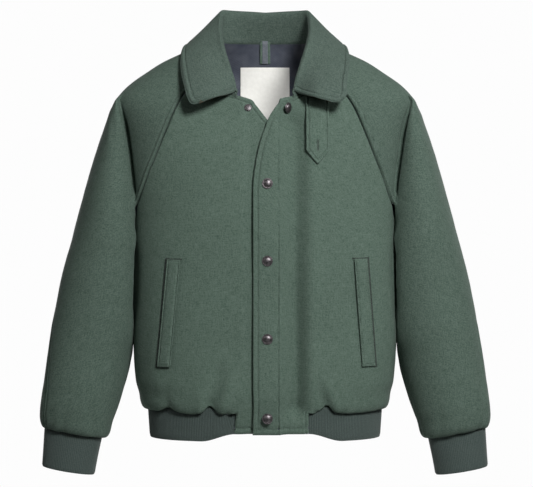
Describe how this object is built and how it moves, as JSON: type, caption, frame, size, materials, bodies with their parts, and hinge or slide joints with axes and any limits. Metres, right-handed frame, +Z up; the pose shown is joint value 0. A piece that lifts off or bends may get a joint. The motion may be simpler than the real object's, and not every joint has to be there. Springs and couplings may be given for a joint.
{
  "type": "bomber jacket",
  "caption": "Hip-length wool bomber jacket, filled out and empty, with raglan sleeves, a shirt collar, snapped placket, slanted welt pockets and ribbed hem and cuffs.",
  "frame": {"origin": "base of the neck, on the centre line, at the middle of the neck's depth, where a wearer's shoulders or a hanger carry the jacket", "axes": "+X to the wearer's left, -Y out of the front, +Z up"},
  "size_m": [0.7386, 0.2622, 0.775],
  "materials": {
    "melton": "milled wool melton, matt with a short nap",
    "rib_knit": "fine rib knit, matt",
    "snap_metal": "gunmetal-plated brass, satin",
    "lining": "satin weave",
    "label": "woven satin label, bare",
    "loop_tape": "wool loop faced with woven tape"
  },
  "bodies": {
    "root": {"back": "melton", "collar": "melton", "cuff_left": "rib_knit", "cuff_right": "rib_knit", "front_left": "melton", "front_right": "melton", "hanger_loop": "loop_tape", "hem_rib": "rib_knit", "lining": "lining", "neck_label": "label", "pocket_welt_left": "melton", "pocket_welt_right": "melton", "sleeve_back_left": "melton", "sleeve_back_right": "melton", "sleeve_front_left": "melton", "sleeve_front_right": "melton", "snap_1": "snap_metal", "snap_2": "snap_metal", "snap_3": "snap_metal", "snap_4": "snap_metal", "snap_5": "snap_metal", "snap_socket": "snap_metal", "throat_tab": "melton"}
  },
  "joints": []
}
